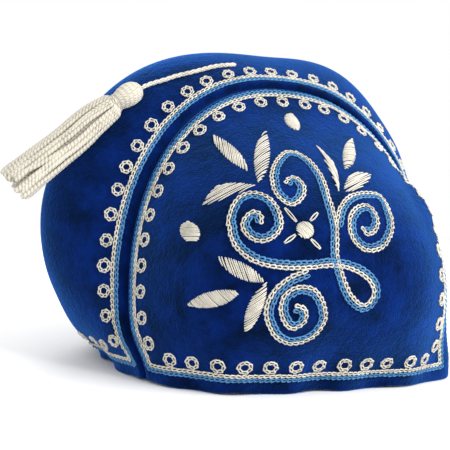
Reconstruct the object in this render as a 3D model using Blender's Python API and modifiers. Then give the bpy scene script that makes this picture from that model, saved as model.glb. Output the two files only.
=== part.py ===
import math

import bmesh
import bpy
import numpy as np
from mathutils import Vector

# A small felt cap sewn from three pieces: a rounded side panel on each side and one band
# that runs from the back rim over the crown to the front rim. A cord sewn down on the
# crown ends in a tassel that lies over the back.
# The cap stands on its rim. +Z is up, the front of the band faces +X, the back with the
# tassel faces -X, and the side panels face -Y and +Y.

# The seam arch between a side panel and the band, seen from the side
RIM_BACK = 0.067            # back foot of the seam, from the middle
RIM_FRONT = 0.0735          # front foot of the seam
ARCH_BACK = 0.073           # widest towards the back
ARCH_FRONT = 0.0715         # widest towards the front
SEAM_HEIGHT = 0.129         # top of the seam above the rim
SHOULDER_HEIGHT = 0.0255    # height of the widest place
ARCH_ROUNDNESS = 0.87       # 1 is an ellipse, less is squarer

# Half distance between the two seams
SEAM_HALF_AT_RIM = 0.0465
SEAM_HALF_MIDDLE = 0.032
SEAM_HALF_AT_TOP = 0.033

# How much further apart the seams are at the front edge of the side panels
FRONT_SPREAD_AT_RIM = 0.011
FRONT_SPREAD_MIDDLE = 0.013
FRONT_SPREAD_AT_TOP = 0.0

# How far a side panel bulges out of its seam
BULGE_AT_RIM = 0.031
BULGE_MIDDLE = 0.059
BULGE_AT_TOP = 0.0095
BULGE_FLATNESS = 3.4        # more gives a flatter middle
BULGE_EDGE = 0.88           # more gives a steeper edge

# How far the band rises over the seams
BAND_RISE = 0.0345
BAND_CROWNING = 1.89        # 2 is a plain arc across the band

# Felt, hem and seams
FELT = 0.0016               # thickness of the felt
HEM_HEIGHT = 0.0025         # upright edge of the rim
HEM_SOFTNESS = 0.005        # length over which the wall leaves the upright
SEAM_ROLL = 0.0031          # felt edge that rolls into the seam
ROLL_DEPTH = 0.0030         # depth of the groove along the seam
FLANGE = 0.0035             # seam allowance inside the cap
SEAM_GAP = 0.0004           # between neighbouring pieces
EDGE_ROUND = 0.0004         # rounding of the cut edges

# Cord and tassel
CORD_DIAMETER = 0.0022
CORD_CLEARANCE = 0.0003     # between the cord and the felt under it
HEAD_DIAMETER = 0.011
HEAD_LENGTH = 0.013
NECK_DIAMETER = 0.0082
SKIRT_LENGTH = 0.055        # from the neck to the tips
SKIRT_WIDTH = 0.022         # at the tips
SKIRT_THICKNESS = 0.0105    # at the tips
LOCK_COUNT = 9              # strands round the skirt
LOCK_RELIEF = 0.13          # depth of the valleys between the strands, share of the radius

# Facets
SIDE_CELLS = 14             # up each side of a panel
TOP_CELLS = 20              # across a panel
BAND_CELLS = 10             # across the band
ROLL_CELLS = 3              # round the rolled edge

# Rise of the band along the seam: place, share of the way from the back rim to the front
# rim, share of BAND_RISE
BAND_RISES = (
    ("back rim", 0.00, 0.13),
    ("back low", 0.08, 0.74),
    ("back middle", 0.16, 1.01),
    ("back high", 0.32, 0.91),
    ("crown", 0.50, 0.58),
    ("front of the crown", 0.60, 0.76),
    ("front high", 0.70, 0.65),
    ("front middle", 0.80, 0.59),
    ("front low", 0.90, 0.51),
    ("front rim", 1.00, 0.47),
)

# Soft hollows in a side panel: place, share of ARCH_FRONT towards the front,
# share of the seam height, radius as a share of the seam height, depth in shares of FELT
PANEL_HOLLOWS = (
    ("above the front rim", 0.62, 0.30, 0.20, 0.9),
    ("below the front seam", 0.60, 0.72, 0.16, 1.0),
    ("behind the middle", -0.55, 0.52, 0.22, 0.8),
    ("above the back rim", -0.40, 0.16, 0.18, 0.7),
)


# Way of the cord over the crown: place, share of the way over the band from the back rim,
# share of the half width of the band
CORD_ROUTE = (
    ("sewn end", 0.442, -0.682),
    ("crown", 0.416, -0.700),
    ("bend", 0.389, -0.690),
    ("over the back", 0.374, -0.658),
    ("before the tassel", 0.361, -0.628),
)

# Middle line of the tassel: place, share of the way over the band from the back rim, share
# of the half width of the band, height over the felt in shares of HEAD_DIAMETER
TASSEL_ROUTE = (
    ("top of the head", 0.336, -0.588, 0.32),
    ("head", 0.319, -0.589, 0.57),
    ("neck", 0.303, -0.549, 0.56),
    ("upper skirt", 0.280, -0.479, 0.58),
    ("middle of the skirt", 0.255, -0.421, 0.66),
    ("leaving the felt", 0.230, -0.337, 0.90),
    ("tips", 0.199, -0.228, 1.50),
    ("beyond the tips", 0.185, -0.186, 1.95),
)

# Head of the tassel: place, share of HEAD_LENGTH, share of HEAD_DIAMETER
HEAD_SECTIONS = (
    ("under the cord", 0.03, 0.38),
    ("dome", 0.14, 0.70),
    ("upper half", 0.32, 0.94),
    ("widest", 0.52, 1.00),
    ("lower half", 0.74, 0.90),
    ("above the neck", 0.90, 0.78),
)

# Skirt: place, share of SKIRT_LENGTH, share of the way from the neck to the full size,
# share of LOCK_RELIEF
SKIRT_SECTIONS = (
    ("neck", 0.00, 0.00, 0.4),
    ("below the neck", 0.06, 0.14, 0.8),
    ("upper", 0.16, 0.24, 1.0),
    ("upper middle", 0.32, 0.34, 1.0),
    ("middle", 0.48, 0.44, 1.0),
    ("lower middle", 0.64, 0.57, 1.0),
    ("lower", 0.80, 0.74, 1.0),
    ("above the tips", 0.93, 0.93, 1.1),
    ("tips", 1.00, 1.00, 1.3),
    ("between the tips", 0.985, 0.55, 0.6),
)


def soft(distance):
    """A distance from the hem that starts without a slope."""
    return np.sqrt(distance ** 2 + HEM_SOFTNESS ** 2) - HEM_SOFTNESS


def height_share(z):
    """Share of the seam height, nought all along the upright hem."""
    above = np.maximum(z - HEM_HEIGHT, 0.0)
    return soft(above) / soft(SEAM_HEIGHT - HEM_HEIGHT)


def through_three(share, low, middle, high):
    """Smooth curve through a value at the rim, half way up and at the top."""
    return (low * (1 - share) * (1 - 2 * share)
            + 4 * middle * share * (1 - share)
            + high * share * (2 * share - 1))


def smooth_read(places, values, wanted):
    """Smooth curve through the rows of a table."""
    places = np.asarray(places, float)
    values = np.asarray(values, float)
    slopes = np.gradient(values, places)
    row = np.clip(np.searchsorted(places, wanted) - 1, 0, len(places) - 2)
    span = places[row + 1] - places[row]
    t = (wanted - places[row]) / span
    return ((2 * t ** 3 - 3 * t ** 2 + 1) * values[row]
            + (t ** 3 - 2 * t ** 2 + t) * span * slopes[row]
            + (3 * t ** 2 - 2 * t ** 3) * values[row + 1]
            + (t ** 3 - t ** 2) * span * slopes[row + 1])


def jamb_reach(z, at_rim, widest):
    """How far the arch reaches from the middle, below the shoulder."""
    above = soft(np.maximum(z - HEM_HEIGHT, 0.0))
    share = above / soft(SHOULDER_HEIGHT - HEM_HEIGHT)
    return at_rim + (widest - at_rim) * np.sin(math.pi / 2 * np.clip(share, 0.0, 1.0))


def half_arch(at_rim, widest):
    """Close points of one half of the arch, from the hem to the top."""
    jamb_z = np.linspace(HEM_HEIGHT, SHOULDER_HEIGHT, 40)
    turn = np.linspace(0.0, math.pi / 2, 160)[1:]
    round_x = widest * np.abs(np.cos(turn)) ** ARCH_ROUNDNESS
    round_z = SHOULDER_HEIGHT + (SEAM_HEIGHT - SHOULDER_HEIGHT) * np.sin(turn) ** ARCH_ROUNDNESS
    reach = np.concatenate([jamb_reach(jamb_z, at_rim, widest), round_x[:-1], [0.0]])
    height = np.concatenate([jamb_z, round_z[:-1], [SEAM_HEIGHT]])
    return reach, height


def arch_outline():
    """Close points of the arch from the back hem over the top to the front hem."""
    back_x, back_z = half_arch(RIM_BACK, ARCH_BACK)
    front_x, front_z = half_arch(RIM_FRONT, ARCH_FRONT)
    x = np.concatenate([-back_x, front_x[-2::-1]])
    z = np.concatenate([back_z, front_z[-2::-1]])
    return x, z


ARCH_X, ARCH_Z = arch_outline()
ARCH_RUN = np.concatenate([[0.0], np.cumsum(np.hypot(np.diff(ARCH_X), np.diff(ARCH_Z)))])
STATIONS = np.linspace(0.0, 1.0, 2 * SIDE_CELLS + TOP_CELLS + 1)


def arch_at(share):
    """Point of the arch at a share of its run."""
    run = share * ARCH_RUN[-1]
    return np.interp(run, ARCH_RUN, ARCH_X), np.interp(run, ARCH_RUN, ARCH_Z)


def arch_outward(share):
    """Direction square to the arch, away from the cap."""
    step = 0.004
    x0, z0 = arch_at(max(share - step, 0.0))
    x1, z1 = arch_at(min(share + step, 1.0))
    along = math.hypot(x1 - x0, z1 - z0)
    fade = min(1.0, soft(min(share, 1 - share) * ARCH_RUN[-1]) / HEM_SOFTNESS)
    nx = -(z1 - z0) / along
    nz = (x1 - x0) / along * fade
    size = math.hypot(nx, nz)
    return nx / size, nz / size


def seam_half(x, z):
    """Distance of the seam from the middle plane at a place of the arch or inside it."""
    share = height_share(z)
    half = through_three(share, SEAM_HALF_AT_RIM, SEAM_HALF_MIDDLE, SEAM_HALF_AT_TOP)
    spread = through_three(
        share, FRONT_SPREAD_AT_RIM, FRONT_SPREAD_MIDDLE, FRONT_SPREAD_AT_TOP)
    forward = min(max(x, 0.0) / ARCH_FRONT, 1.0)
    return half + spread * forward ** 2 * (3 - 2 * forward)


def seam_at(share):
    """Point of the seam on the -Y side."""
    x, z = arch_at(share)
    return np.array([x, -seam_half(x, z), z])


def panel_point(x, z):
    """Point of the outer face of the panel on the -Y side."""
    at_rim, widest = (RIM_FRONT, ARCH_FRONT) if x > 0 else (RIM_BACK, ARCH_BACK)
    power = 2 / ARCH_ROUNDNESS
    over = max(z - SHOULDER_HEIGHT, 0.0) / (SEAM_HEIGHT - SHOULDER_HEIGHT)
    if over > 0:
        out = ((abs(x) / widest) ** power + over ** power) ** (1 / power)
    else:
        out = abs(x) / float(jamb_reach(z, at_rim, widest))
    out = min(out, 1.0)
    share = height_share(z)
    bulge = through_three(share, BULGE_AT_RIM, BULGE_MIDDLE, BULGE_AT_TOP)
    fullness = (1 - out ** BULGE_FLATNESS) ** (1 / BULGE_EDGE)
    depth = 0.0
    for _, forward, up, radius, amount in PANEL_HOLLOWS:
        dx = x - forward * ARCH_FRONT
        dz = z - up * SEAM_HEIGHT
        near = (dx ** 2 + dz ** 2) / (radius * SEAM_HEIGHT) ** 2
        depth += amount * FELT * math.exp(-near) * share / (share + 0.1)
    y = seam_half(x, z) + bulge * fullness - depth * fullness
    return np.array([x, -y, z])


def panel_ray(share, out):
    """Point of the panel on the line from the middle to the seam at a share of the arch."""
    x, z = arch_at(share)
    if z > SHOULDER_HEIGHT:
        z = SHOULDER_HEIGHT + out * (z - SHOULDER_HEIGHT)
    return panel_point(out * x, z)


def band_point(share, across):
    """Point of the outer face of the band, across from -1 to 1."""
    x, z = arch_at(share)
    nx, nz = arch_outward(share)
    run = ARCH_RUN[-1]
    from_hem = soft(min(share, 1 - share) * run) / soft(run / 2) / 2
    place = from_hem if share < 0.5 else 1 - from_hem
    rises = smooth_read([row[1] for row in BAND_RISES], [row[2] for row in BAND_RISES], place)
    rise = BAND_RISE * float(rises) * (1 - abs(across) ** BAND_CROWNING)
    return np.array([x + nx * rise, across * seam_half(x, z), z + nz * rise])


def at_distance(point_of, start, end, distance):
    """Parameter at which a line over the felt is a given distance from its start."""
    steps = np.linspace(start, end, 80)
    points = np.array([point_of(step) for step in steps])
    run = np.concatenate([[0.0], np.cumsum(np.linalg.norm(np.diff(points, axis=0), axis=1))])
    return float(np.interp(distance, run, steps))


def unit(vector):
    return vector / np.linalg.norm(vector)


def roll(start, leaving, end, arriving, steps):
    """Points of a rolled edge, from the felt face into the seam."""
    reach = 1.17 * np.linalg.norm(end - start)
    rows = []
    for step in range(1, steps + 1):
        t = step / steps
        rows.append((2 * t ** 3 - 3 * t ** 2 + 1) * start
                    + (t ** 3 - 2 * t ** 2 + t) * reach * leaving
                    + (3 * t ** 2 - 2 * t ** 3) * end
                    + (t ** 3 - t ** 2) * reach * arriving)
    return rows


def seam_section(share):
    """Edges of panel and band at one station of the seam.

    Gives where the free face of each ends and the rows that go from there into the seam.
    """
    seam = seam_at(share)
    out = at_distance(lambda r: panel_ray(share, r), 1.0, 0.7, SEAM_ROLL)
    across = at_distance(lambda w: band_point(share, w), -1.0, -0.4, SEAM_ROLL)
    if share <= 0.0:
        along = np.array([0.0, 0.0, 1.0])
    elif share >= 1.0:
        along = np.array([0.0, 0.0, -1.0])
    else:
        step = 0.003
        along = unit(seam_at(min(share + step, 1.0)) - seam_at(max(share - step, 0.0)))
    panel_edge = panel_ray(share, out)
    band_edge = band_point(share, across)
    outward = unit(np.cross(panel_edge - seam, along)) + unit(np.cross(along, band_edge - seam))
    outward = unit(outward - np.dot(outward, along) * along)
    aside = np.cross(along, outward)
    foot = min(share, 1 - share) * ARCH_RUN[-1]
    flange = FLANGE * (0.45 + 0.55 * min(1.0, foot / (4 * FLANGE)))
    sections = []
    for edge, inner, side in (
            (panel_edge, panel_ray(share, out - 0.01), aside),
            (band_edge, band_point(share, across + 0.03), -aside)):
        bottom = seam + side * SEAM_GAP / 2 - outward * ROLL_DEPTH
        rows = roll(edge, unit(edge - inner), bottom, -outward, ROLL_CELLS)
        rows.append(bottom - outward * flange)
        sections.append(rows)
    return out, across, sections[0], sections[1]


SECTIONS = [seam_section(share) for share in STATIONS]


def felt_material(name, colour, roughness):
    """Plain finish of one piece."""
    material = bpy.data.materials.new(name)
    material.use_nodes = True
    shader = material.node_tree.nodes["Principled BSDF"]
    shader.inputs["Base Color"].default_value = (*colour, 1.0)
    shader.inputs["Roughness"].default_value = roughness
    shader.inputs["Metallic"].default_value = 0.0
    material.diffuse_color = (*colour, 1.0)
    return material


def add_object(name, mesh, material, collection):
    mesh.materials.append(material)
    made = bpy.data.objects.new(name, mesh)
    collection.objects.link(made)
    return made


def thicken(made):
    """Felt thickness towards the inside and rounded cut edges."""
    solid = made.modifiers.new("felt", "SOLIDIFY")
    solid.thickness = FELT
    solid.offset = -1.0
    solid.use_even_offset = True
    solid.use_quality_normals = True
    edge = made.modifiers.new("cut edges", "BEVEL")
    edge.width = EDGE_ROUND
    edge.segments = 1
    edge.limit_method = "ANGLE"
    edge.angle_limit = math.radians(66)
    made.data.shade_smooth()
    made.data.set_sharp_from_angle(angle=math.radians(50))


def grid_rows(bm, columns, rows):
    """A flat grid and its vertices by row and column."""
    bmesh.ops.create_grid(bm, x_segments=columns, y_segments=rows, size=1.0)
    by_place = {}
    for vert in bm.verts:
        i = round((vert.co.x + 1) / 2 * columns)
        j = round((vert.co.y + 1) / 2 * rows)
        by_place[i, j] = vert
    return by_place


def make_panel(name, side, material, collection):
    """A side panel on the side -1 or +1 of the cap."""
    bm = bmesh.new()
    columns, rows = TOP_CELLS, SIDE_CELLS + 1
    verts = grid_rows(bm, columns, rows)

    edge = []
    for share, section in zip(STATIONS, SECTIONS):
        x, z = arch_at(share)
        if z > SHOULDER_HEIGHT:
            z = SHOULDER_HEIGHT + section[0] * (z - SHOULDER_HEIGHT)
        edge.append(np.array([section[0] * x, z]))
    left = edge[:SIDE_CELLS + 1]
    top = edge[SIDE_CELLS:SIDE_CELLS + TOP_CELLS + 1]
    right = edge[SIDE_CELLS + TOP_CELLS:][::-1]

    for j in range(rows + 1):
        v = max(j - 1, 0) / SIDE_CELLS
        for i in range(columns + 1):
            u = i / columns
            u = u - 0.5 * math.sin(2 * math.pi * u) / (2 * math.pi)
            low = (1 - u) * left[0] + u * right[0]
            across = (1 - u) * left[max(j - 1, 0)] + u * right[max(j - 1, 0)]
            high = (1 - u) * top[0] + u * top[-1]
            place = (1 - v) * low + v * top[i] + across - (1 - v) * low - v * high
            point = panel_point(place[0], place[1])
            if j == 0:
                point[2] = 0.0
            verts[i, j].co = point

    chain = [verts[0, j] for j in range(rows + 1)]
    chain += [verts[i, rows] for i in range(1, columns + 1)]
    chain += [verts[columns, j] for j in range(rows - 1, -1, -1)]
    sections = [section[2] for section in SECTIONS]
    sections = [sections[0]] + sections + [sections[-1]]
    for row in range(ROLL_CELLS + 1):
        edges = []
        for first, second in zip(chain[:-1], chain[1:]):
            edges += [e for e in first.link_edges if e.other_vert(first) is second]
        made = bmesh.ops.extrude_edge_only(bm, edges=edges)["geom"]
        fresh = {part for part in made if isinstance(part, bmesh.types.BMVert)}
        following = []
        for number, vert in enumerate(chain):
            new = [e.other_vert(vert) for e in vert.link_edges if e.other_vert(vert) in fresh][0]
            new.co = sections[number][row]
            if number in (0, len(chain) - 1):
                new.co.z = 0.0
            following.append(new)
        chain = following

    bmesh.ops.recalc_face_normals(bm, faces=bm.faces)
    bm.faces.ensure_lookup_table()
    middle = max(bm.faces, key=lambda face: -face.calc_center_median().y)
    if middle.normal.y > 0:
        bmesh.ops.reverse_faces(bm, faces=bm.faces)
    if side > 0:
        for vert in bm.verts:
            vert.co.y = -vert.co.y
        bmesh.ops.reverse_faces(bm, faces=bm.faces)
    mesh = bpy.data.meshes.new(name)
    bm.to_mesh(mesh)
    bm.free()
    panel = add_object(name, mesh, material, collection)
    thicken(panel)
    return panel


def make_band(name, material, collection):
    """The band from the back rim over the crown to the front rim."""
    bm = bmesh.new()
    stations = len(STATIONS) + 1
    edge_rows = ROLL_CELLS + 1
    lines = BAND_CELLS + 2 * edge_rows
    verts = grid_rows(bm, stations, lines)
    for i in range(stations + 1):
        number = min(max(i - 1, 0), len(STATIONS) - 1)
        share = STATIONS[number]
        across, section = SECTIONS[number][1], SECTIONS[number][3]
        for j in range(lines + 1):
            if j < edge_rows:
                point = np.array(section[edge_rows - 1 - j])
            elif j > lines - edge_rows:
                point = section[j - lines + edge_rows - 1] * np.array([1.0, -1.0, 1.0])
            else:
                w = across * (1 - 2 * (j - edge_rows) / BAND_CELLS)
                point = band_point(share, w)
            if i in (0, stations):
                point[2] = 0.0
            verts[i, j].co = point
    bmesh.ops.recalc_face_normals(bm, faces=bm.faces)
    top = max(bm.faces, key=lambda face: face.calc_center_median().z)
    if top.normal.z < 0:
        bmesh.ops.reverse_faces(bm, faces=bm.faces)
    mesh = bpy.data.meshes.new(name)
    bm.to_mesh(mesh)
    bm.free()
    band = add_object(name, mesh, material, collection)
    thicken(band)
    return band


def band_normal(share, across):
    """Direction away from the felt of the band."""
    along = band_point(share + 0.004, across) - band_point(share - 0.004, across)
    aside = band_point(share, across + 0.02) - band_point(share, across - 0.02)
    return unit(np.cross(along, aside))


def smooth_line(points):
    """Run of a line through the points and a function that reads a point of it."""
    points = np.array(points)
    run = np.concatenate([[0.0], np.cumsum(np.linalg.norm(np.diff(points, axis=0), axis=1))])
    return run, lambda d: np.array([smooth_read(run, points[:, axis], d) for axis in range(3)])


def tassel_line():
    points = []
    for _, share, across, height in TASSEL_ROUTE:
        foot = band_point(share, across)
        points.append(foot + band_normal(share, across) * height * HEAD_DIAMETER)
    return smooth_line(points)


def cord_points():
    """Close points of the middle of the cord, from the sewn end to the tassel."""
    lift = CORD_DIAMETER / 2 + CORD_CLEARANCE
    points = []
    for _, share, across in CORD_ROUTE:
        points.append(band_point(share, across) + band_normal(share, across) * lift)
    run, tassel_at = tassel_line()
    top = tassel_at(0.0)
    axis = unit(tassel_at(HEAD_LENGTH / 4) - top)
    points.append(top - axis * CORD_DIAMETER)
    points.append(top - axis * SEAM_GAP)
    run, cord_at = smooth_line(points)
    count = math.ceil(run[-1] / (2 * CORD_DIAMETER))
    return [cord_at(run[-1] * step / count) for step in range(count + 1)]


def make_cord(name, material, collection):
    data = bpy.data.curves.new(name, "CURVE")
    data.dimensions = "3D"
    data.bevel_depth = CORD_DIAMETER / 2
    data.bevel_resolution = 2
    data.use_fill_caps = True
    line = data.splines.new("POLY")
    points = cord_points()
    line.points.add(len(points) - 1)
    for target, point in zip(line.points, points):
        target.co = (*point, 1.0)
    data.materials.append(material)
    made = bpy.data.objects.new(name, data)
    collection.objects.link(made)
    return made


def tassel_sections():
    """Distance from the top, width, thickness and relief of each section."""
    sections = [(0.0, 0.0, 0.0, 0.0)]
    for _, share, size in HEAD_SECTIONS:
        sections.append((share * HEAD_LENGTH, size * HEAD_DIAMETER, size * HEAD_DIAMETER, 0.15))
    for place, share, full, relief in SKIRT_SECTIONS:
        width = NECK_DIAMETER + (SKIRT_WIDTH - NECK_DIAMETER) * full
        thick = NECK_DIAMETER + (SKIRT_THICKNESS - NECK_DIAMETER) * full
        if place == "between the tips":
            width = full * SKIRT_WIDTH
            thick = full * SKIRT_THICKNESS
        sections.append((HEAD_LENGTH + share * SKIRT_LENGTH, width, thick, relief))
    sections.append((HEAD_LENGTH + 0.975 * SKIRT_LENGTH, 0.0, 0.0, 0.0))
    return sections


def make_tassel(name, material, collection):
    """Head, neck and fluted skirt in one body."""
    bm = bmesh.new()
    around = 4 * LOCK_COUNT
    sections = tassel_sections()
    verts = grid_rows(bm, around, len(sections) - 1)
    run, tassel_at = tassel_line()
    feet = np.array([band_normal(row[1], row[2]) for row in TASSEL_ROUTE])
    normal_at = [lambda d, axis=axis: smooth_read(run, feet[:, axis], d) for axis in range(3)]
    for j, (distance, width, thick, relief) in enumerate(sections):
        middle = tassel_at(distance)
        axis = unit(tassel_at(distance + 0.001) - tassel_at(distance - 0.001))
        away = np.array([read(distance) for read in normal_at])
        away = unit(away - np.dot(away, axis) * axis)
        aside = np.cross(axis, away)
        for i in range(around + 1):
            turn = 2 * math.pi * (i % around) / around
            valley = 0.5 - 0.5 * math.cos(LOCK_COUNT * turn)
            size = 1 - relief * LOCK_RELIEF * valley
            lock = round(i / 4) % LOCK_COUNT
            uneven = 0.02 * SKIRT_LENGTH * math.sin(2.4 * lock) if distance > SKIRT_LENGTH else 0.0
            point = (middle + aside * size * width / 2 * math.cos(turn)
                     + away * size * thick / 2 * math.sin(turn)
                     + axis * uneven * (1 if width > 0 else 0))
            verts[i, j].co = point
    bmesh.ops.remove_doubles(bm, verts=bm.verts, dist=1e-6)
    bmesh.ops.recalc_face_normals(bm, faces=bm.faces)
    mesh = bpy.data.meshes.new(name)
    bm.to_mesh(mesh)
    bm.free()
    made = add_object(name, mesh, material, collection)
    mesh.shade_smooth()
    mesh.set_sharp_from_angle(angle=math.radians(60))
    return made


def centre(pieces, measured):
    """Moves all pieces so that the measured ones stand over the origin."""
    low = [min(v.co[axis] for piece in measured for v in piece.data.vertices) for axis in (0, 1)]
    high = [max(v.co[axis] for piece in measured for v in piece.data.vertices) for axis in (0, 1)]
    move = Vector((-(low[0] + high[0]) / 2, -(low[1] + high[1]) / 2, 0.0))
    for piece in pieces:
        if piece.type == "CURVE":
            for point in piece.data.splines[0].points:
                point.co = (point.co.xyz + move).to_4d()
        else:
            for vert in piece.data.vertices:
                vert.co += move


for old in list(bpy.data.objects):
    bpy.data.objects.remove(old, do_unlink=True)

cap = bpy.data.collections.new("embroidered_cap")
bpy.context.scene.collection.children.link(cap)

BLUE_FELT = (0.012, 0.046, 0.235)
BLUE_BAND = (0.012, 0.044, 0.225)
CREAM = (0.74, 0.67, 0.54)

felt = [
    make_panel("side_panel_near", -1, felt_material("near side felt", BLUE_FELT, 0.95), cap),
    make_panel("side_panel_far", 1, felt_material("far side felt", BLUE_FELT, 0.95), cap),
    make_band("crown_band", felt_material("band felt", BLUE_BAND, 0.95), cap),
]
trim = [
    make_cord("tassel_cord", felt_material("cream cord", CREAM, 0.7), cap),
    make_tassel("tassel", felt_material("cream tassel yarn", CREAM, 0.6), cap),
]
centre(felt + trim, felt)
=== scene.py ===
import math

import bpy
import numpy as np
from mathutils import Matrix, Vector
from mathutils.bvhtree import BVHTree
from mathutils.kdtree import KDTree


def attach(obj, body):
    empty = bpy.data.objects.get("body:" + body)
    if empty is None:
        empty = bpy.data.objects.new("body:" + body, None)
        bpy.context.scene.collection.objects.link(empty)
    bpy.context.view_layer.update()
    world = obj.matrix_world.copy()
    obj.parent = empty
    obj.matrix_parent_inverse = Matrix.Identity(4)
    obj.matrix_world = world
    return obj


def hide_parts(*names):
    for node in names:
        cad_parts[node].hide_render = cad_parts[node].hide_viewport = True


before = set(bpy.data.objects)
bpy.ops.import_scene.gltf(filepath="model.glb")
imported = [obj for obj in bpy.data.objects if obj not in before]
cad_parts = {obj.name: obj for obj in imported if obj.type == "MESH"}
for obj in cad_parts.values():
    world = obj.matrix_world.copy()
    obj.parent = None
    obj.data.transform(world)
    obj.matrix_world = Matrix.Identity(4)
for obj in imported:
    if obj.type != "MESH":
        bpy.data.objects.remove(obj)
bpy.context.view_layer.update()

# Camera. A long studio lens a little above the table looks at the side panel from behind
# its middle. The lens is shifted as the framing of the cap needs.
FRAME_WIDTH = 450             # pixels of the square picture
FOCAL_LENGTH = 614.6          # pixels
LENS_AXIS = (255.1, 253.8)    # pixel that the lens looks at
CAMERA_AZIMUTH = math.radians(22.5)
CAMERA_ELEVATION = math.radians(3.4)
CAMERA_ROLL = math.radians(-2.4)
CAMERA_DISTANCE = 0.3154      # metres, as lengths are from here on
FELT_MIDDLE_X = 0.0077        # middle of the side panel's arch
CAMERA_TARGET = Vector((FELT_MIDDLE_X, 0.0, 0.05))
SENSOR = 36.0                 # millimetres

toward_camera = Vector((
    -math.sin(CAMERA_AZIMUTH) * math.cos(CAMERA_ELEVATION),
    -math.cos(CAMERA_AZIMUTH) * math.cos(CAMERA_ELEVATION),
    math.sin(CAMERA_ELEVATION)))
level_right = Vector((math.cos(CAMERA_AZIMUTH), -math.sin(CAMERA_AZIMUTH), 0.0))
level_up = toward_camera.cross(level_right)
lens_right = level_right * math.cos(CAMERA_ROLL) - level_up * math.sin(CAMERA_ROLL)
lens_up = level_right * math.sin(CAMERA_ROLL) + level_up * math.cos(CAMERA_ROLL)
camera_data = bpy.data.cameras.new("studio_camera")
camera_data.sensor_width = SENSOR
camera_data.lens = FOCAL_LENGTH / FRAME_WIDTH * SENSOR
camera_data.shift_x = -(LENS_AXIS[0] - FRAME_WIDTH / 2) / FRAME_WIDTH
camera_data.shift_y = (LENS_AXIS[1] - FRAME_WIDTH / 2) / FRAME_WIDTH
camera_data.clip_start = 0.01
camera = bpy.data.objects.new("studio_camera", camera_data)
camera.matrix_world = (
    Matrix.Translation(CAMERA_TARGET + toward_camera * CAMERA_DISTANCE)
    @ Matrix((lens_right, lens_up, toward_camera)).transposed().to_4x4())
bpy.context.scene.collection.objects.link(camera)
bpy.context.scene.camera = camera

# Felt. The cap is sewn from two side panels and a crown band of milled wool felt, 1.6 mm
# thick. The hem is cut and left soft, so it runs in slight waves.
PANEL_LEVELS = 3              # subdivisions of a side panel
BAND_LEVELS = 2               # and of the band
MERGE_DISTANCE = 1e-6
LARGEST_FOLD = math.radians(50)  # of two triangles joined to one face
LARGEST_SKEW = math.radians(60)
WAVE_DEPTH = 0.0009           # of the hem, in and out
WAVE_LIFT = 0.0008            # of the hem, upwards
WAVE_LENGTH = 0.024
WAVE_FADE = 0.014             # height over which the waves die out
SECOND_WAVE_SHARE = 0.6       # depth of the slower wave laid over the first
SECOND_WAVE_LENGTH = 1.7      # in lengths of the first
LIFT_WAVE_LENGTH = 1.4
RIM_BACK = 0.067              # feet of the seam, from the middle
RIM_FRONT = 0.0735
ARCH_BACK = 0.073             # where the seam is widest
ARCH_FRONT = 0.0715
SEAM_TOP = 0.129
SHOULDER = 0.0255             # height of the widest place
ROUNDNESS = 0.87
HEM_HEIGHT = 0.0025
HEM_SOFTNESS = 0.005
SEAM_STEP = 0.002
SEAM_HALVES = (0.0465, 0.032, 0.033)  # half way between the seams: rim, middle, top
FRONT_SPREADS = (0.011, 0.013, 0.0)  # wider than that at the front edge
FRONT_RIDGE = (
    # height, how far the ridge lies from the front seam, how far it stands out
    (0.0, 0.017, 0.0053), (0.012, 0.018, 0.0052), (0.020, 0.021, 0.0042),
    (0.030, 0.027, 0.0030), (0.045, 0.031, 0.0024), (0.060, 0.032, 0.0020),
    (0.070, 0.030, 0.0028), (0.077, 0.026, 0.0044), (0.083, 0.021, 0.0050),
    (0.088, 0.014, 0.0036), (0.092, 0.010, 0.0015), (0.096, 0.006, 0.0),
    (0.135, 0.006, 0.0),
)
RIDGE_WIDTH = 0.010
RIDGE_WAY = (0.92, -0.38, 0.0)  # direction in which it is pressed out
BACK_FULLNESS = 0.0042        # of the band, low at the back
BACK_FULLNESS_HEIGHT = 0.02
FRONT_FULLNESS = 0.0022       # of the band, high in front
FRONT_FULLNESS_AT = 0.108
FRONT_FULLNESS_HEIGHT = 0.014
FULLNESS_HALF_WIDTH = 0.045
OUTSIDE = 0.2                 # clear of the cap, where looks at the felt begin
OVER_SEAM = 0.07              # the same for the band, from its seam
FIRST_STEP = 0.0006           # of a walk over the felt away from the seam
WALK_STEP = 0.0004
BAND_WALK = 0.019             # how far such a walk leads
PANEL_WALK = 0.044
LARGEST_JUMP = 0.006          # between two places of one walk


def make_active(piece):
    bpy.ops.object.select_all(action="DESELECT")
    piece.select_set(True)
    bpy.context.view_layer.objects.active = piece


def felt_copy(name, node, levels):
    """A finer copy of a felt node, with its loose triangles sewn into smooth faces."""
    piece = bpy.data.objects.new(name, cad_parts[node].data.copy())
    bpy.context.scene.collection.objects.link(piece)
    make_active(piece)
    bpy.ops.object.mode_set(mode="EDIT")
    bpy.ops.mesh.select_all(action="SELECT")
    bpy.ops.mesh.remove_doubles(threshold=MERGE_DISTANCE)
    bpy.ops.mesh.tris_convert_to_quads(
        face_threshold=LARGEST_FOLD, shape_threshold=LARGEST_SKEW)
    bpy.ops.object.mode_set(mode="OBJECT")
    smooth = piece.modifiers.new("smooth felt", "SUBSURF")
    smooth.levels = levels
    smooth.render_levels = levels
    bpy.ops.object.modifier_apply(modifier=smooth.name)
    piece.data.materials.clear()
    bpy.ops.object.shade_smooth()
    return piece


def vertex_places(mesh):
    places = np.empty(len(mesh.vertices) * 3)
    mesh.vertices.foreach_get("co", places)
    return places.reshape(-1, 3)


def set_places(piece, places):
    piece.data.vertices.foreach_set("co", places.ravel())
    piece.data.update()


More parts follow.
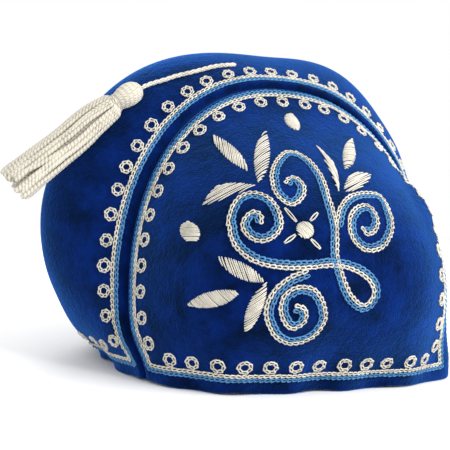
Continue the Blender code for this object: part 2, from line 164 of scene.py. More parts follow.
def wave_hem(piece):
    """Presses the lowest stretch of the felt in and out and up in slow waves."""
    places = vertex_places(piece.data)
    turn = np.arctan2(places[:, 1], places[:, 0] - FELT_MIDDLE_X)
    reach = np.hypot(places[:, 1], places[:, 0] - FELT_MIDDLE_X)
    phase = 2 * np.pi * turn * np.median(reach) / WAVE_LENGTH
    wave = np.sin(phase) + SECOND_WAVE_SHARE * np.sin(phase / SECOND_WAVE_LENGTH + 1)
    fade = np.exp(-(places[:, 2] / WAVE_FADE) ** 2)
    push = WAVE_DEPTH * wave * fade
    places[:, 0] += np.cos(turn) * push
    places[:, 1] += np.sin(turn) * push
    places[:, 2] += WAVE_LIFT * fade * (0.5 + 0.5 * np.sin(phase / LIFT_WAVE_LENGTH)) ** 2
    set_places(piece, places)


def add_node(tree, kind, settings=None, sockets=None):
    """Adds a node with its settings and what its sockets hold or link to."""
    node = tree.nodes.new(kind)
    for name, value in (settings or {}).items():
        setattr(node, name, value)
    for name, value in (sockets or {}).items():
        if isinstance(value, bpy.types.NodeSocket):
            tree.links.new(value, node.inputs[name])
        else:
            node.inputs[name].default_value = value
    return node


def linear(code):
    """Linear colour of an sRGB hex value."""
    parts = [int(code[k:k + 2], 16) / 255 for k in (1, 3, 5)]
    red, green, blue = (
        p / 12.92 if p <= 0.04045 else ((p + 0.055) / 1.055) ** 2.4 for p in parts)
    return red, green, blue, 1.0


def new_material(name, looks):
    """A material with some values on its shader's own sockets."""
    material = bpy.data.materials.new(name)
    material.use_nodes = True
    shader = material.node_tree.nodes["Principled BSDF"]
    for socket, value in looks.items():
        shader.inputs[socket].default_value = value
    return material, material.node_tree, shader


def object_places(tree, shift):
    place = add_node(tree, "ShaderNodeTexCoord").outputs["Object"]
    moved = add_node(tree, "ShaderNodeMapping", None, {"Vector": place, "Location": shift})
    return moved.outputs["Vector"]


def noise(tree, vector, scale, detail, roughness, distortion=0.0):
    node = add_node(tree, "ShaderNodeTexNoise", None, {
        "Vector": vector, "Scale": scale, "Detail": detail, "Roughness": roughness,
        "Distortion": distortion})
    return node.outputs["Fac"]


def scaled(tree, value, factor, more, clamp=False):
    """A value times a factor, and something more."""
    node = add_node(tree, "ShaderNodeMath", {"operation": "MULTIPLY_ADD", "use_clamp": clamp},
                    {0: value, 1: factor, 2: more})
    return node.outputs[0]


def ramp(tree, value, low, low_colour, high, high_colour):
    """Two colours, mixed where a value lies between low and high."""
    node = add_node(tree, "ShaderNodeValToRGB", None, {"Fac": value})
    for number, place, colour in ((0, low, low_colour), (1, high, high_colour)):
        node.color_ramp.elements[number].position = place
        node.color_ramp.elements[number].color = colour
    return node.outputs["Color"]


def give_bump(tree, shader, height, strength, distance):
    bump = add_node(tree, "ShaderNodeBump", None,
                    {"Height": height, "Strength": strength, "Distance": distance})
    tree.links.new(bump.outputs["Normal"], shader.inputs["Normal"])


def milled_felt(name, seed):
    """Milled wool felt, dyed in the piece: matt, mottled where the nap lies one way or the
    other, with a soft bright rim where the fibre ends catch the light."""
    material, tree, shader = new_material(name, {
        "Roughness": 0.95, "Specular IOR Level": 0.02, "Sheen Weight": 1.0,
        "Sheen Roughness": 0.45, "Sheen Tint": linear("#4186ee")})
    vector = object_places(tree, (seed, 0.3, 0.1))
    cloud = noise(tree, vector, 75.0, 3.0, 0.6)
    nap = noise(tree, vector, 420.0, 4.0, 0.65, distortion=0.8)
    fibre = noise(tree, vector, 1500.0, 3.0, 0.7)
    patches = ramp(tree, cloud, 0.36, linear("#010824"), 0.66, linear("#041e62"))
    strands = ramp(tree, nap, 0.35, (0.62, 0.62, 0.66, 1.0), 0.68, (1.0, 1.0, 1.0, 1.0))
    both = add_node(tree, "ShaderNodeMix", {"data_type": "RGBA", "blend_type": "MULTIPLY"},
                    {0: 1.0, 6: patches, 7: strands})
    tree.links.new(both.outputs[2], shader.inputs["Base Color"])
    give_bump(tree, shader, scaled(tree, nap, 1.6, fibre), 0.55, 0.0006)
    return material


def mirrored(name, piece):
    """A copy of a piece on the other side of the cap, with its faces turned to match."""
    other = bpy.data.objects.new(name, piece.data.copy())
    bpy.context.scene.collection.objects.link(other)
    places = vertex_places(other.data)
    places[:, 1] *= -1
    set_places(other, places)
    other.data.flip_normals()
    return other


def felt_surface(piece):
    mesh = piece.data
    faces = [face.vertices[:] for face in mesh.polygons]
    return BVHTree.FromPolygons([vert.co for vert in mesh.vertices], faces)


def seen_from_side(surface, forward, height):
    """The outermost felt of the near side at one place, or nothing."""
    return surface.ray_cast(Vector((forward, -OUTSIDE, height)), Vector((0.0, 1.0, 0.0)))[0]


def soft(distance):
    """A distance that begins gently, as the wall leaves the upright hem."""
    return np.sqrt(distance ** 2 + HEM_SOFTNESS ** 2) - HEM_SOFTNESS


def through_three(share, values):
    """A smooth value between rim and top, through three that are given."""
    low, middle, high = values
    return (low * (1 - share) * (1 - 2 * share) + 4 * middle * share * (1 - share)
            + high * share * (2 * share - 1))


def half_arch(foot, widest):
    """Reach and height of the seam from one foot to the top."""
    upright = np.linspace(HEM_HEIGHT, SHOULDER, 40)
    share = soft(upright - HEM_HEIGHT) / soft(SHOULDER - HEM_HEIGHT)
    turn = np.linspace(0.0, math.pi / 2, 200)[1:-1]
    reach = np.concatenate([
        foot + (widest - foot) * np.sin(math.pi / 2 * share),
        widest * np.cos(turn) ** ROUNDNESS, [0.0]])
    height = np.concatenate([
        upright, SHOULDER + (SEAM_TOP - SHOULDER) * np.sin(turn) ** ROUNDNESS, [SEAM_TOP]])
    return reach, height


def run_along(line):
    """How far along a line each of its points lies."""
    return np.concatenate([[0.0], np.cumsum(np.linalg.norm(np.diff(line, axis=0), axis=1))])


def read_line(line, run, wanted):
    """The place or places that lie some way along a line."""
    return np.stack([np.interp(wanted, run, column) for column in line.T], axis=-1)


def even_steps(points, pitch, ends=True):
    """Points at even steps along a line of points."""
    run = run_along(points)
    count = max(2, round(run[-1] / pitch))
    wanted = np.linspace(0.0, run[-1], count + 1)
    if not ends:
        wanted = (wanted[:-1] + wanted[1:]) / 2
    return read_line(points, run, wanted)


def seam_line():
    """The seam of the near side from the back foot over the crown to the front foot."""
    back_x, back_z = half_arch(RIM_BACK, ARCH_BACK)
    front_x, front_z = half_arch(RIM_FRONT, ARCH_FRONT)
    x = np.concatenate([-back_x, front_x[-2::-1]])
    z = np.concatenate([back_z, front_z[-2::-1]])
    x, z = even_steps(np.stack([x, z], axis=1), SEAM_STEP).T
    share = soft(np.maximum(z - HEM_HEIGHT, 0.0)) / soft(SEAM_TOP - HEM_HEIGHT)
    forward = np.clip(x / ARCH_FRONT, 0.0, 1.0)
    half = (through_three(share, SEAM_HALVES)
            + through_three(share, FRONT_SPREADS) * forward ** 2 * (3 - 2 * forward))
    return np.stack([x + FELT_MIDDLE_X, -half, z], axis=1)


seam = seam_line()
seam_run = np.gradient(seam[:, [0, 2]], axis=0)
seam_run /= np.linalg.norm(seam_run, axis=1)[:, None]
seam_inward = np.stack([seam_run[:, 1], -seam_run[:, 0]], axis=1)


def walk(surface, number, on_band):
    """Points of the felt that lead away from one place of the seam, and how far each is."""
    start = seam[number]
    inward = seam_inward[number]
    found = [start]
    for step in np.arange(FIRST_STEP, BAND_WALK if on_band else PANEL_WALK, WALK_STEP):
        if on_band:
            origin = Vector((start[0] - inward[0] * OVER_SEAM, start[1] + step,
                             start[2] - inward[1] * OVER_SEAM))
            hit = surface.ray_cast(origin, Vector((inward[0], 0.0, inward[1])))[0]
        else:
            hit = seen_from_side(
                surface, start[0] + inward[0] * step, start[2] + inward[1] * step)
        if hit is not None and np.linalg.norm(np.array(hit) - found[-1]) < LARGEST_JUMP:
            found.append(np.array(hit))
    found = np.array(found)
    return found, run_along(found)


def fullness_of_panel(piece):
    """How far each point of the side panel stands out beside its front seam, where the felt
    has been pressed into a soft ridge."""
    surface = felt_surface(piece)
    walks = [walk(surface, number, False) for number in range(len(seam))]
    heights, crests, depths = np.array(FRONT_RIDGE).T
    tree = KDTree(sum(len(found) for found, _ in walks))
    marks = []
    for (found, run), start in zip(walks, seam):
        for place, distance in zip(found, run):
            tree.insert(place, len(marks))
            marks.append((distance, start[2] if start[0] > FELT_MIDDLE_X else SEAM_TOP))
    tree.balance()
    push = np.zeros((len(piece.data.vertices), 3))
    for number, vert in enumerate(piece.data.vertices):
        distance, height = marks[tree.find(vert.co)[1]]
        off = (distance - np.interp(height, heights, crests)) / RIDGE_WIDTH
        depth = np.interp(height, heights, depths)
        push[number] = np.array(RIDGE_WAY) * depth * math.exp(-off * off)
    return push


def fullness_of_band(piece):
    """How far each point of the crown band stands out low at the back and high in front."""
    places = vertex_places(piece.data)
    middle = 1 - np.clip(np.abs(places[:, 1]) / FULLNESS_HALF_WIDTH, 0.0, 1.0) ** 2
    low = np.exp(-(places[:, 2] / BACK_FULLNESS_HEIGHT) ** 2)
    low = np.where(places[:, 0] < 0, low, 0.0)
    high = np.exp(-((places[:, 2] - FRONT_FULLNESS_AT) / FRONT_FULLNESS_HEIGHT) ** 2)
    high = np.where(places[:, 0] > 0, high, 0.0)
    push = np.zeros_like(places)
    push[:, 0] = middle * (FRONT_FULLNESS * high - BACK_FULLNESS * low)
    return push


near_felt = felt_copy("near_side_felt", "side_panel_near", PANEL_LEVELS)
band_felt = felt_copy("crown_band_felt", "crown_band", BAND_LEVELS)
wave_hem(near_felt)
wave_hem(band_felt)
set_places(near_felt, vertex_places(near_felt.data) + fullness_of_panel(near_felt))
set_places(band_felt, vertex_places(band_felt.data) + fullness_of_band(band_felt))
near_surface = felt_surface(near_felt)
band_surface = felt_surface(band_felt)
panel_walks = [walk(near_surface, number, False) for number in range(len(seam))]
band_walks = [walk(band_surface, number, True) for number in range(len(seam))]
far_felt = mirrored("far_side_felt", near_felt)
for piece, node, slot, seed in (
        (near_felt, "side_panel_near", "near_side_felt", 0.0),
        (far_felt, "side_panel_far", "far_side_felt", 1.3),
        (band_felt, "crown_band", "band_felt", 2.9)):
    piece.data.materials.append(milled_felt(slot, seed))
    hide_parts(node)
    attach(piece, "root")

# Borders. Two rows of chain stitch, light blue by the seam and white inside it, frame every
# piece of felt. Small rings of chain stitch stand along the white row.
LINK_PITCH = 0.0022           # length of a stitch
LINK_HALF_WIDTH = 0.00065     # to the middle of the thread
LINK_STRETCH = 0.00046        # how far each end of a loop is drawn out
LINK_WAIST = 0.2              # share of the half width that stays in the middle
LINK_TAIL_TUCK = 0.0002       # how far the tail dips under the loop behind it
LINK_HEAD_LIFT = 0.00008
LINK_TAIL_WIDTH = 0.72        # share of the head's
LINK_TURN_UNITS = 5.0         # length of a loop's thread, as its twist counts it
LINK_LEAN = 0.07              # how unevenly the loops are worked: radians
LINK_SIZES = (0.93, 1.07)
LINK_HEIGHTS = (0.75, 1.15)   # over the felt, in thread radii
LINK_STRAY = 0.00006
THREAD_RADIUS = 0.00038
BLUE_FROM_SEAM = 0.0041
WHITE_FROM_SEAM = 0.0060
RINGS_FROM_SEAM = 0.0099
BLUE_OVER_RIM = 0.0061
WHITE_OVER_RIM = 0.0079
RINGS_OVER_RIM = 0.0117
RING_RADIUS = 0.00215
RING_SIZES = (0.92, 1.06)
RING_LINKS = 7
RING_LINK_SIZE = 0.97
RING_PITCH = 0.0106
RING_STRAY = 0.0003
PANEL_RING_STARTS = (0.0057, 0.0074)  # first ring from the corner, by the seam and the rim
BAND_RING_STARTS = (0.0036, 0.0100)
FRONT_COLUMN = (
    # height, and how much further the side panel's front border lies from the seam there
    (0.0, 0.019), (0.010, 0.020), (0.018, 0.024), (0.026, 0.027), (0.034, 0.029),
    (0.042, 0.031), (0.050, 0.031), (0.058, 0.029), (0.066, 0.024), (0.074, 0.017),
    (0.082, 0.010), (0.089, 0.004), (0.096, 0.0), (0.135, 0.0),
)
COLUMN_SMOOTHING = 12         # rounds in which the table's corners are drawn out
draw = np.random.default_rng(11)


def row_beside_seam(walks, distance, height, on_band):
    """Line over the felt at a distance from the seam, from one hem row to the other."""
    heights, further = np.array(FRONT_COLUMN).T
    with_column = (seam[:, 0] > FELT_MIDDLE_X) & (not on_band)
    extra = np.where(with_column, np.interp(seam[:, 2], heights, further), 0.0)
    for _ in range(COLUMN_SMOOTHING):
        extra[1:-1] = (extra[:-2] + 2 * extra[1:-1] + extra[2:]) / 4
    line = np.array([
        read_line(found, run, distance + more) for (found, run), more in zip(walks, extra)])
    above = np.nonzero(line[:, 2] > height)[0]
    first, last = above[0], above[-1]
    ends = []
    for inner, outer in ((first, first - 1), (last, last + 1)):
        share = (height - line[inner, 2]) / (line[outer, 2] - line[inner, 2])
        ends.append(line[inner] + share * (line[outer] - line[inner]))
    return np.vstack([ends[0], line[first:last + 1], ends[1]])


def row_over_panel_rim(start, end, height):
    """Line over the near panel at a height above its rim."""
    line = [start]
    for forward in np.linspace(start[0], end[0], 90)[1:-1]:
        hit = seen_from_side(near_surface, forward, height)
        if hit is not None:
            line.append(np.array(hit))
    line.append(end)
    return np.array(line)


def row_over_band_rim(start, height, side):
    """Line over the front or back of the band at a height above its rim."""
    line = [start]
    for y in np.linspace(start[1], -start[1], 80)[1:-1]:
        hit = band_surface.ray_cast(
            Vector((side * OUTSIDE, y, height)), Vector((-side, 0.0, 0.0)))[0]
        if hit is not None:
            line.append(np.array(hit))
    line.append(start * np.array([1.0, -1.0, 1.0]))
    return np.array(line)


def chain_link():
    """One loop of chain stitch, long way along X, with its tail tucked down."""
    bpy.ops.object.select_all(action="DESELECT")
    bpy.ops.mesh.primitive_torus_add(
        major_segments=10, minor_segments=4, generate_uvs=True,
        major_radius=LINK_HALF_WIDTH, minor_radius=THREAD_RADIUS)
    link = bpy.context.active_object
    for side in (1, -1):
        bpy.ops.object.mode_set(mode="EDIT")
        bpy.ops.mesh.select_all(action="DESELECT")
        bpy.ops.object.mode_set(mode="OBJECT")
        for vert in link.data.vertices:
            vert.select = vert.co.x * side > LINK_HALF_WIDTH * LINK_WAIST
        bpy.ops.object.mode_set(mode="EDIT")
        rise = -LINK_TAIL_TUCK if side < 0 else LINK_HEAD_LIFT
        bpy.ops.transform.translate(value=(side * LINK_STRETCH, 0.0, rise))
        if side < 0:
            bpy.ops.transform.resize(value=(1.0, LINK_TAIL_WIDTH, 1.0))
        bpy.ops.object.mode_set(mode="OBJECT")
    mesh = link.data
    places = vertex_places(mesh)
    quads = np.array([face.vertices[:] for face in mesh.polygons])
    turns = np.empty(len(mesh.loops) * 2)
    mesh.uv_layers[0].data.foreach_get("uv", turns)
    bpy.data.objects.remove(link, do_unlink=True)
    return places, quads, turns.reshape(-1, 2) * np.array([LINK_TURN_UNITS, 1.0])


link_places, link_quads, link_turns = chain_link()


def new_piece(name, parts, material):
    """One piece from many small closed bodies, each (points, quads, thread turns)."""
    starts = np.cumsum([0] + [len(part[0]) for part in parts])
    places = np.concatenate([part[0] for part in parts])
    quads = np.concatenate([part[1] + start for part, start in zip(parts, starts)])
    turns = np.concatenate([part[2] for part in parts])
    mesh = bpy.data.meshes.new(name)
    mesh.vertices.add(len(places))
    mesh.vertices.foreach_set("co", places.ravel())
    mesh.loops.add(quads.size)
    mesh.loops.foreach_set("vertex_index", quads.ravel().astype(np.int32))
    mesh.polygons.add(len(quads))
    mesh.polygons.foreach_set("loop_start", np.arange(0, quads.size, 4, dtype=np.int32))
    layer = mesh.uv_layers.new(name="thread_turns")
    layer.data.foreach_set("uv", turns.ravel())
    mesh.update(calc_edges=True)
    mesh.shade_smooth()
    mesh.materials.append(material)
    piece = bpy.data.objects.new(name, mesh)
    bpy.context.scene.collection.objects.link(piece)
    return piece


def unit_rows(rows):
    return rows / np.linalg.norm(rows, axis=1)[:, None]


def square_to(rows, others):
    """Directions turned square to others, row by row."""
    return unit_rows(rows - others * np.sum(rows * others, axis=1)[:, None])


def on_felt(surface, points):
    """The nearest felt and its outward direction for each point."""
    places = []
    outward = []
    for point in points:
        near, normal, _, _ = surface.find_nearest(Vector(point))
        places.append(near)
        outward.append(normal)
    return np.array(places), np.array(outward)


def lay_links(surface, points, scale=1.0, closed=False):
    """Chain links along points of the felt, each leaning a little of its own way."""
    places, outward = on_felt(surface, points)
    if closed:
        along = np.roll(places, -1, axis=0) - np.roll(places, 1, axis=0)
    else:
        along = np.gradient(places, axis=0)
    along = square_to(along, outward)
    aside = np.cross(outward, along)
    parts = []
    for place, ahead, across, up in zip(places, along, aside, outward):
        lean = draw.normal(0.0, LINK_LEAN)
        size = scale * draw.uniform(*LINK_SIZES)
        ahead, across = (ahead * math.cos(lean) + across * math.sin(lean),
                         across * math.cos(lean) - ahead * math.sin(lean))
        over = up * THREAD_RADIUS * draw.uniform(*LINK_HEIGHTS)
        base = place + over + across * draw.normal(0.0, LINK_STRAY)
        shape = link_places * size
        parts.append((base + shape[:, :1] * ahead + shape[:, 1:2] * across + shape[:, 2:] * up,
                      link_quads, link_turns))
    return parts


def lay_ring(surface, centre, toward):
    """A ring of chain links round a place of the felt, begun on the side of the row."""
    middle, outward = (rows[0] for rows in on_felt(surface, [centre]))
    toward = toward - outward * np.dot(toward, outward)
    toward = toward / np.linalg.norm(toward)
    aside = np.cross(outward, toward)
    radius = RING_RADIUS * draw.uniform(*RING_SIZES)
    start = draw.uniform(0.0, 1.0)
    points = []
    for number in range(RING_LINKS):
        turn = 2 * math.pi * (number + start) / RING_LINKS
        points.append(middle + radius * (toward * math.cos(turn) + aside * math.sin(turn)))
    return lay_links(surface, points, scale=RING_LINK_SIZE, closed=True)


def lay_rings(surface, line, first, count, row):
    """Rings at even steps along a line, clear of its ends by a distance."""
    run = run_along(line)
    parts = []
    for wanted in np.linspace(first, run[-1] - first, count):
        centre = read_line(line, run, wanted + draw.normal(0.0, RING_STRAY))
        nearest = row[np.argmin(np.linalg.norm(row - centre, axis=1))]
        parts += lay_ring(surface, centre, nearest - centre)
    return parts


def twisted_thread(name, light, groove_shade_and_dark_tone, turns_per_unit, seed):
    """Mercerised cotton thread: two plies twisted together, with a soft gloss on each of the plies
    and painted shade in the base colour, darker in the groove between them."""
    material, tree, shader = new_material(name, {
        "Specular IOR Level": 0.4, "Sheen Weight": 0.25, "Sheen Roughness": 0.4})
    layer = add_node(tree, "ShaderNodeUVMap", {"uv_map": "thread_turns"})
    turns = add_node(tree, "ShaderNodeSeparateXYZ", None, {0: layer.outputs[0]})
    winding = scaled(tree, turns.outputs["X"], turns_per_unit, turns.outputs["Y"])
    angle = add_node(tree, "ShaderNodeMath", {"operation": "MULTIPLY"},
                     {0: winding, 1: 4 * math.pi})
    wave = add_node(tree, "ShaderNodeMath", {"operation": "SINE"}, {0: angle.outputs[0]})
    ply_relief_and_groove_shade = scaled(tree, wave.outputs[0], 0.5, 0.5)
    vector = object_places(tree, (seed, 0.0, 0.2))
    cloud = noise(tree, vector, 160.0, 3.0, 0.6)
    hair = noise(tree, vector, 2600.0, 2.0, 0.6)
    # Painted shade: the base colour turns to the dark colour where the ply wave is low, in the
    # groove between the plies, and it also varies at random with the cloud noise.
    base_tone_and_groove_shade = ramp(tree, scaled(tree, ply_relief_and_groove_shade, 0.55, cloud, clamp=True),
                0.3, linear(groove_shade_and_dark_tone), 0.85, linear(light))
    tree.links.new(base_tone_and_groove_shade, shader.inputs["Base Color"])
    gloss = add_node(tree, "ShaderNodeMapRange", None,
                     {"Value": hair, "To Min": 0.42, "To Max": 0.72})
    tree.links.new(gloss.outputs["Result"], shader.inputs["Roughness"])
    give_bump(tree, shader, scaled(tree, hair, 0.4, ply_relief_and_groove_shade), 0.6, 0.00015)
    return material


EMBROIDERY_TWIST = 0.8        # turns in each unit of a loop's thread
# The second colour of each thread is its darker tone and the painted shade of the grooves between
# its plies.
white_thread = twisted_thread(
    "cream_embroidery_thread", "#e4dfd1", "#7c786b", EMBROIDERY_TWIST, 0.0)
blue_thread = twisted_thread(
    "light_blue_embroidery_thread", "#4a8fc2", "#1b4c80", EMBROIDERY_TWIST, 0.7)


def border_rows(walks, from_seam, over_rim, on_band):
    """The two or four sides of one border row, each a line over the felt."""
    beside = row_beside_seam(walks, from_seam, over_rim, on_band)
    if on_band:
        other = beside * np.array([1.0, -1.0, 1.0])
        back = row_over_band_rim(beside[0], over_rim, -1.0)
        front = row_over_band_rim(beside[-1], over_rim, 1.0)
        return [beside, front, other[::-1], back[::-1]]
    return [beside, row_over_panel_rim(beside[-1], beside[0], over_rim)]


def chain_rows(surface, rows):
    """Chain stitch along each of some lines."""
    parts = []
    for row in rows:
        parts += lay_links(surface, even_steps(row, LINK_PITCH, ends=False))
    return parts


def finish_embroidery(piece):
    """Fixes embroidery to the cap."""
    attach(piece, "root")


for name, surface, walks, on_band in (
        ("near_side", near_surface, panel_walks, False),
        ("crown_band", band_surface, band_walks, True)):
    blue_rows = border_rows(walks, BLUE_FROM_SEAM, BLUE_OVER_RIM, on_band)
    white_rows = border_rows(walks, WHITE_FROM_SEAM, WHITE_OVER_RIM, on_band)
    ring_rows = border_rows(walks, RINGS_FROM_SEAM, RINGS_OVER_RIM, on_band)
    ring_starts = BAND_RING_STARTS if on_band else PANEL_RING_STARTS
    rings = []
    for number, (row, white_row) in enumerate(zip(ring_rows, white_rows)):
        first = ring_starts[number % 2]
        count = round((run_along(row)[-1] - 2 * first) / RING_PITCH) + 1
        rings += lay_rings(surface, row, first, count, white_row)
    blue = new_piece(name + "_blue_border", chain_rows(surface, blue_rows), blue_thread)
    white = new_piece(
        name + "_white_border", chain_rows(surface, white_rows) + rings, white_thread)
    finish_embroidery(blue)
    finish_embroidery(white)
    if not on_band:
        finish_embroidery(mirrored("far_side_blue_border", blue))
        finish_embroidery(mirrored("far_side_white_border", white))

# Scrolls. A heart of three curls is worked in two rows of chain stitch, white and light
# blue, on each side panel. The places are millimetres forward and up on the panel.
SCROLLS = (
    # name, side of the light-blue row, places of the white row
    ("heart", 1, (
        (-34, 67), (-33, 58), (-28, 53), (-20, 51), (-10, 51), (3, 52), (11, 50), (16, 47),
        (19, 42), (16, 37), (10, 40), (6, 46), (4, 51), (3, 54), (4, 66), (4, 77), (4, 88),
        (1, 94), (-4, 96), (-11, 92), (-16, 84), (-16, 77), (-13, 74), (-6, 78), (-5, 83),
        (-8, 85), (-12, 82))),
    ("back curl", -1, (
        (-34, 67), (-32, 72), (-29, 76), (-24, 78), (-19, 76), (-17, 71), (-17, 66),
        (-20, 62), (-24, 60), (-28, 61), (-30, 65), (-28, 69), (-25, 71), (-23, 69),
        (-24, 66))),
    ("front curl", -1, (
        (4, 67), (7, 73), (13, 78), (20, 80), (29, 79), (30, 72), (28, 65), (22, 59),
        (15, 58), (10, 62), (10, 69), (15, 74), (21, 75), (23, 70), (20, 65), (16, 64),
        (15, 67))),
    ("lower curl", 1, (
        (-9, 50), (-16, 47), (-21, 42), (-23, 35), (-21, 29), (-17, 24), (-10, 22),
        (-3, 25), (0, 31), (-2, 38), (-6, 43), (-12, 44), (-17, 41), (-18, 36), (-12, 28),
        (-8, 31), (-9, 36), (-13, 37))),
)
PAIR_DISTANCE = 0.0019        # between the two rows
CURVE_STEP = 0.0005


def smooth_curve(points):
    """Close points of a smooth line through a few."""
    points = np.asarray(points, float)
    run = run_along(points)
    slopes = np.gradient(points, run, axis=0)
    wanted = np.arange(0.0, run[-1], CURVE_STEP)
    row = np.clip(np.searchsorted(run, wanted, side="right") - 1, 0, len(points) - 2)
    span = (run[row + 1] - run[row])[:, None]
    t = (wanted - run[row])[:, None] / span
    return ((2 * t ** 3 - 3 * t ** 2 + 1) * points[row]
            + (t ** 3 - 2 * t ** 2 + t) * span * slopes[row]
            + (3 * t ** 2 - 2 * t ** 3) * points[row + 1]
            + (t ** 3 - t ** 2) * span * slopes[row + 1])


def relaxed(line, window):
    """The line with its small unevenness drawn out of it, ends kept."""
    padded = np.concatenate([
        2 * line[0] - line[window:0:-1], line, 2 * line[-1] - line[-2:-window - 2:-1]])
    kernel = np.hanning(2 * window + 1)
    kernel /= kernel.sum()
    return np.stack([np.convolve(column, kernel, mode="valid") for column in padded.T], axis=1)


def on_near_side(flat_points):
    """Places on the near panel for points forward and up."""
    return np.array([seen_from_side(near_surface, x, z) for x, z in flat_points])


scroll_white = []
scroll_blue = []
for _, blue_side, places in SCROLLS:
    line = on_near_side(relaxed(smooth_curve(np.array(places) / 1000), 6))
    _, outward = on_felt(near_surface, line)
    along = unit_rows(np.gradient(line, axis=0))
    left = np.cross(outward, along)
    scroll_white += lay_links(near_surface, even_steps(line, LINK_PITCH, ends=False))
    beside = line + left * blue_side * PAIR_DISTANCE
    scroll_blue += lay_links(near_surface, even_steps(beside, LINK_PITCH, ends=False))
for name, parts, thread, slot in (
        ("scroll_white", scroll_white, white_thread, "cream_cord"),
        ("scroll_blue", scroll_blue, blue_thread, None)):
    piece = new_piece("near_side_" + name, parts, thread)
    finish_embroidery(piece)
    finish_embroidery(mirrored("far_side_" + name, piece))

# Leaves, dots and flower. They are filled in satin stitch: slanting threads laid side by
# side over the felt, with the felt showing between them in places.
LEAVES = (
    # name, tip and foot forward and up, width, bow: millimetres; slant in degrees
    ("A", (-31.7, 102.8), (-23.8, 86.7), 6.0, -0.3, -97),
    ("B", (-10.1, 105.2), (-21.5, 81.7), 5.6, 0.5, 34),
    ("C", (-41.4, 72.0), (-22.2, 81.1), 4.8, -2.1, 31),
    ("D", (-38.7, 53.8), (-24.2, 45.4), 5.8, 0.6, -73),
    ("E", (-47.5, 34.5), (-31.9, 41.3), 6.0, 0.0, -48),
    ("F", (-23.5, 45.2), (-29.0, 25.5), 5.2, 0.6, 41),
    ("G", (9.8, 101.0), (9.2, 79.7), 3.4, -1.8, -84),
    ("H", (32.3, 105.6), (17.2, 89.6), 5.5, 0.0, 5),
    ("I", (11.3, 80.1), (30.8, 88.9), 5.6, -0.9, 21),
)
DOTS = (
    # name, middle forward and up, width and height: millimetres; slant in degrees
    ("back dot", (-45.7, 62.0), (6.0, 7.6), 5),
    ("top dot", (3.8, 110.9), (7.0, 8.2), -26),
    ("flower", (-8.7, 64.8), (6.6, 6.4), -46),
)
PETALS = (
    # name, outer end, inner end: millimetres
    ("upper back", (-14.6, 72.6), (-11.4, 67.6)),
    ("upper front", (-2.5, 71.3), (-6.1, 68.2)),
    ("lower back", (-16.9, 59.7), (-12.6, 62.8)),
    ("lower front", (-3.7, 58.0), (-7.1, 61.5)),
)
SATIN_PITCH = 0.00052
SATIN_RADIUS = 0.00029
SATIN_RADII = (0.92, 1.1)     # how much the threads differ
SATIN_SECTIONS = (
    # share of a thread's way, radius there as a share
    (0.0, 0.6), (0.08, 0.95), (0.25, 1.0), (0.5, 1.0), (0.75, 1.0), (0.92, 0.95), (1.0, 0.6),
)
SATIN_SUNK = 0.9              # depth of a thread's ends in the felt, in radii
SATIN_OUT = 1.5               # and how far it comes out from there
SATIN_FILL = 0.00045          # how far a thread is raised in its middle
SATIN_GAP = 0.00014           # felt between two threads
SATIN_GAP_SHARE = 0.35        # of the threads that have one beside them
SATIN_WOBBLE = math.radians(1.0)
SATIN_LOOK = 0.00015          # step at which the edge of a leaf is looked for
SATIN_FEWEST = 6              # such steps in the shortest thread
LEAF_POINT = 1.15             # less makes a leaf sharper at its ends
LEAF_FULLNESS = 0.9           # less makes it rounder between them
PETAL_RADIUS = 0.00027
PETAL_POINTS = 9
PETAL_HALF_WIDTH = 0.00052
PETAL_ENDS = 0.35             # share of that at the ends
PETAL_OVER_FELT = 0.6         # in radii
PLY_GROOVE = 0.14             # depth of the groove between two plies, share of the radius
TWIST_START = 0.125           # where round a thread its twist is counted from


def sweep(line, outward, radii, sides=4, lobes=0, turns=0.0, start=0.0):
    """A closed thread along a line, round or of some plies that wind round each other."""
    along = unit_rows(np.gradient(line, axis=0))
    up = square_to(outward, along)
    aside = np.cross(along, up)
    run = run_along(line)
    turn = np.arange(sides) / sides * 2 * math.pi
    section = np.ones(sides)
    if lobes:
        section = 1 - PLY_GROOVE + PLY_GROOVE * np.abs(np.cos(lobes * turn / 2))
    rings = []
    for number, place in enumerate(line):
        size = radii[number] * section
        angle = turn + start + 2 * math.pi * turns * run[number]
        rings.append(place + (size * np.cos(angle))[:, None] * aside[number]
                     + (size * np.sin(angle))[:, None] * up[number])
    count = len(line)
    quads = []
    marks = []
    for ring in range(count - 1):
        for side in range(sides):
            other = (side + 1) % sides
            quads.append((ring * sides + side, ring * sides + other,
                          (ring + 1) * sides + other, (ring + 1) * sides + side))
            low, high = (0.0, 0.0) if lobes else (run[ring] * 1000, run[ring + 1] * 1000)
            first, second = side / sides + TWIST_START, (side + 1) / sides + TWIST_START
            marks += [(low, first), (low, second), (high, second), (high, first)]
    last = (count - 1) * sides
    for k in range(sides // 2 - 1):
        quads.append((k, sides - 1 - k, sides - 2 - k, k + 1))
        quads.append((last + k, last + k + 1, last + sides - 2 - k, last + sides - 1 - k))
        marks += [(0.0, 0.0)] * 4 + [(run[-1] * 1000, 0.0)] * 4
    return np.concatenate(rings), np.array(quads), np.array(marks)


def satin_thread(first, second):
    """One laid thread between two places, arched over the felt."""
    share, sizes = np.array(SATIN_SECTIONS).T
    flat = np.outer(1 - share, first) + np.outer(share, second)
    places, outward = on_felt(near_surface, on_near_side(flat))
    arch = np.sin(math.pi * share)
    lift = SATIN_RADIUS * (-SATIN_SUNK + SATIN_OUT * arch ** 0.35) + SATIN_FILL * arch
    line = places + outward * lift[:, None]
    return sweep(line, outward, SATIN_RADIUS * draw.uniform(*SATIN_RADII) * sizes, sides=6)


